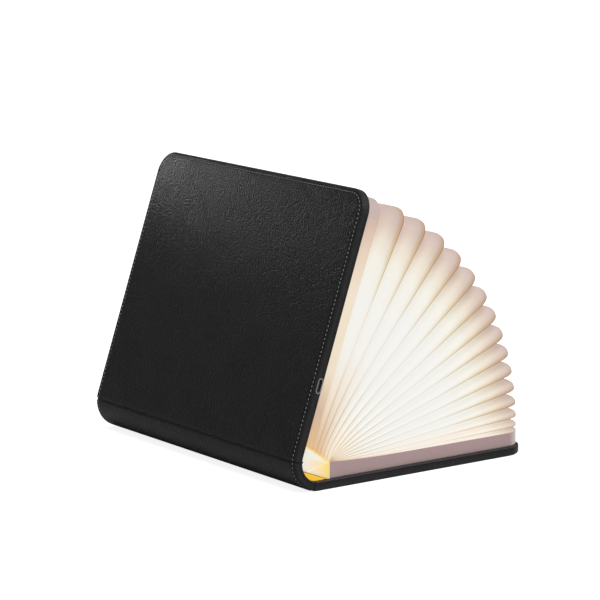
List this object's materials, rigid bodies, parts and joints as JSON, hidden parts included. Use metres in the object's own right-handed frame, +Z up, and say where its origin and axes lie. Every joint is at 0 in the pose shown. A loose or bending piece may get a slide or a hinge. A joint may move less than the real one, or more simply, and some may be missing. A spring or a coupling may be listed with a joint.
{
  "type": "folding book lamp",
  "caption": "Lamp shaped like a leather-bound book: its covers open on a rounded spine that holds the light, and a pleated paper shade fans out between them.",
  "frame": {"origin": "on the table, under the middle of the back cover, which lies flat", "axes": "+X from the spine to the back cover's fore-edge, +Y along the spine to the end without the charging port, +Z up"},
  "size_m": [0.1783, 0.215, 0.1756],
  "materials": {
    "leather": "satin",
    "fibreboard": "matte",
    "lining": "matte",
    "shade_paper": "matte",
    "plate_plastic": "matte",
    "bar_aluminium": "satin",
    "screw_steel": "satin",
    "strip_film": "matte",
    "light_chip": "gloss",
    "diffuser_plastic": "matte",
    "cap_plastic": "satin",
    "magnet_nickel": "polished",
    "cell_foil": "satin",
    "wire_rubber": "satin",
    "plug_plastic": "matte",
    "board_green": "gloss",
    "chip_black": "matte",
    "socket_steel": "satin",
    "tongue_plastic": "matte",
    "trim_plastic": "satin",
    "ribbon_film": "gloss"
  },
  "bodies": {
    "back_cover": {"back_leather": "leather", "back_board": "fibreboard", "back_lining": "lining", "back_magnets": "magnet_nickel", "trigger_magnet": "magnet_nickel", "shade_panel_back": "shade_paper", "shade_band_back": "shade_paper"},
    "spine": {"spine_leather": "leather", "spine_stiffener": "plate_plastic", "light_bar": "bar_aluminium", "bar_screws": "screw_steel", "led_strip": "strip_film", "led_chips": "light_chip", "diffuser": "diffuser_plastic", "bar_cap_near": "cap_plastic", "bar_cap_far": "cap_plastic", "gusset_near": "shade_paper", "gusset_far": "shade_paper"},
    "front_cover": {"front_leather": "leather", "front_board": "fibreboard", "front_lining": "lining", "front_magnets": "magnet_nickel", "battery_cell": "cell_foil", "battery_wires": "wire_rubber", "wire_plug": "plug_plastic", "control_board": "board_green", "control_chips": "chip_black", "closing_sensor": "chip_black", "charging_socket": "socket_steel", "socket_tongue": "tongue_plastic", "port_trim": "trim_plastic", "light_ribbon": "ribbon_film", "shade_panel_front": "shade_paper", "shade_band_front": "shade_paper"},
    "fold_01": {"pleat_01": "shade_paper"},
    "fold_02": {"pleat_02": "shade_paper"},
    "fold_03": {"pleat_03": "shade_paper"},
    "fold_04": {"pleat_04": "shade_paper"},
    "fold_05": {"pleat_05": "shade_paper"},
    "fold_06": {"pleat_06": "shade_paper"},
    "fold_07": {"pleat_07": "shade_paper"},
    "fold_08": {"pleat_08": "shade_paper"},
    "fold_09": {"pleat_09": "shade_paper"},
    "fold_10": {"pleat_10": "shade_paper"},
    "fold_11": {"pleat_11": "shade_paper"},
    "fold_12": {"pleat_12": "shade_paper"},
    "fold_13": {"pleat_13": "shade_paper"},
    "fold_14": {"pleat_14": "shade_paper"}
  },
  "joints": [
    {"name": "spine_hinge", "type": "hinge", "parent": "back_cover", "child": "spine", "pos_m": [-0.08, 0, 0], "axis": [0, -1, 0], "range_deg": [-35.5, 144.4], "deforming": ["shade_band_back", "gusset_near", "gusset_far"]},
    {"name": "cover_hinge", "type": "hinge", "parent": "spine", "child": "front_cover", "pos_m": [-0.09732, 0, 0.02422], "axis": [0, -1, 0], "range_deg": [-35.5, 144.4], "deforming": ["shade_band_front", "light_ribbon"]},
    {"name": "fold_01_turn", "type": "hinge", "parent": "spine", "child": "fold_01", "pos_m": [-0.08, 0, 0], "axis": [0, -1, 0], "range_deg": [-135.76, 33.53], "deforming": ["pleat_01"]},
    {"name": "fold_02_turn", "type": "hinge", "parent": "spine", "child": "fold_02", "pos_m": [-0.08, 0, 0], "axis": [0, -1, 0], "range_deg": [-125.45, 30.99], "deforming": ["pleat_02"]},
    {"name": "fold_03_turn", "type": "hinge", "parent": "spine", "child": "fold_03", "pos_m": [-0.08, 0, 0], "axis": [0, -1, 0], "range_deg": [-113.64, 28.09], "deforming": ["pleat_03"]},
    {"name": "fold_04_turn", "type": "hinge", "parent": "spine", "child": "fold_04", "pos_m": [-0.08, 0, 0], "axis": [0, -1, 0], "range_deg": [-100.34, 24.82], "deforming": ["pleat_04"]},
    {"name": "fold_05_turn", "type": "hinge", "parent": "spine", "child": "fold_05", "pos_m": [-0.08, 0, 0], "axis": [0, -1, 0], "range_deg": [-85.55, 21.18], "deforming": ["pleat_05"]},
    {"name": "fold_06_turn", "type": "hinge", "parent": "spine", "child": "fold_06", "pos_m": [-0.08, 0, 0], "axis": [0, -1, 0], "range_deg": [-69.28, 17.18], "deforming": ["pleat_06"]},
    {"name": "fold_07_turn", "type": "hinge", "parent": "spine", "child": "fold_07", "pos_m": [-0.08, 0, 0], "axis": [0, -1, 0], "range_deg": [-51.52, 12.82], "deforming": ["pleat_07"]},
    {"name": "fold_08_turn", "type": "hinge", "parent": "spine", "child": "fold_08", "pos_m": [-0.08, 0, 0], "axis": [0, -1, 0], "range_deg": [-32.26, 8.08], "deforming": ["pleat_08"]},
    {"name": "fold_09_turn", "type": "hinge", "parent": "spine", "child": "fold_09", "pos_m": [-0.08, 0, 0], "axis": [0, -1, 0], "range_deg": [-11.52, 2.98], "deforming": ["pleat_09"]},
    {"name": "fold_10_turn", "type": "hinge", "parent": "spine", "child": "fold_10", "pos_m": [-0.09732, 0, 0.02422], "axis": [0, -1, 0], "range_deg": [-2.88, 11.12], "deforming": ["pleat_10"]},
    {"name": "fold_11_turn", "type": "hinge", "parent": "spine", "child": "fold_11", "pos_m": [-0.09732, 0, 0.02422], "axis": [0, -1, 0], "range_deg": [-8.71, 34.83], "deforming": ["pleat_11"]},
    {"name": "fold_12_turn", "type": "hinge", "parent": "spine", "child": "fold_12", "pos_m": [-0.09732, 0, 0.02422], "axis": [0, -1, 0], "range_deg": [-14.91, 60.04], "deforming": ["pleat_12"]},
    {"name": "fold_13_turn", "type": "hinge", "parent": "spine", "child": "fold_13", "pos_m": [-0.09732, 0, 0.02422], "axis": [0, -1, 0], "range_deg": [-21.48, 86.74], "deforming": ["pleat_13"]},
    {"name": "fold_14_turn", "type": "hinge", "parent": "spine", "child": "fold_14", "pos_m": [-0.09732, 0, 0.02422], "axis": [0, -1, 0], "range_deg": [-28.4, 114.93], "deforming": ["pleat_14"]}
  ],
  "couplings": [
    {"joint": "cover_hinge", "follows": "spine_hinge", "ratio": 1},
    {"joint": "fold_01_turn", "follows": "spine_hinge", "ratio": -0.9388},
    {"joint": "fold_02_turn", "follows": "spine_hinge", "ratio": -0.8674},
    {"joint": "fold_03_turn", "follows": "spine_hinge", "ratio": -0.7856},
    {"joint": "fold_04_turn", "follows": "spine_hinge", "ratio": -0.6935},
    {"joint": "fold_05_turn", "follows": "spine_hinge", "ratio": -0.5911},
    {"joint": "fold_06_turn", "follows": "spine_hinge", "ratio": -0.4784},
    {"joint": "fold_07_turn", "follows": "spine_hinge", "ratio": -0.3554},
    {"joint": "fold_08_turn", "follows": "spine_hinge", "ratio": -0.222},
    {"joint": "fold_09_turn", "follows": "spine_hinge", "ratio": -0.0784},
    {"joint": "fold_10_turn", "follows": "spine_hinge", "ratio": 0.0756},
    {"joint": "fold_11_turn", "follows": "spine_hinge", "ratio": 0.2398},
    {"joint": "fold_12_turn", "follows": "spine_hinge", "ratio": 0.4144},
    {"joint": "fold_13_turn", "follows": "spine_hinge", "ratio": 0.5993},
    {"joint": "fold_14_turn", "follows": "spine_hinge", "ratio": 0.7945}
  ]
}
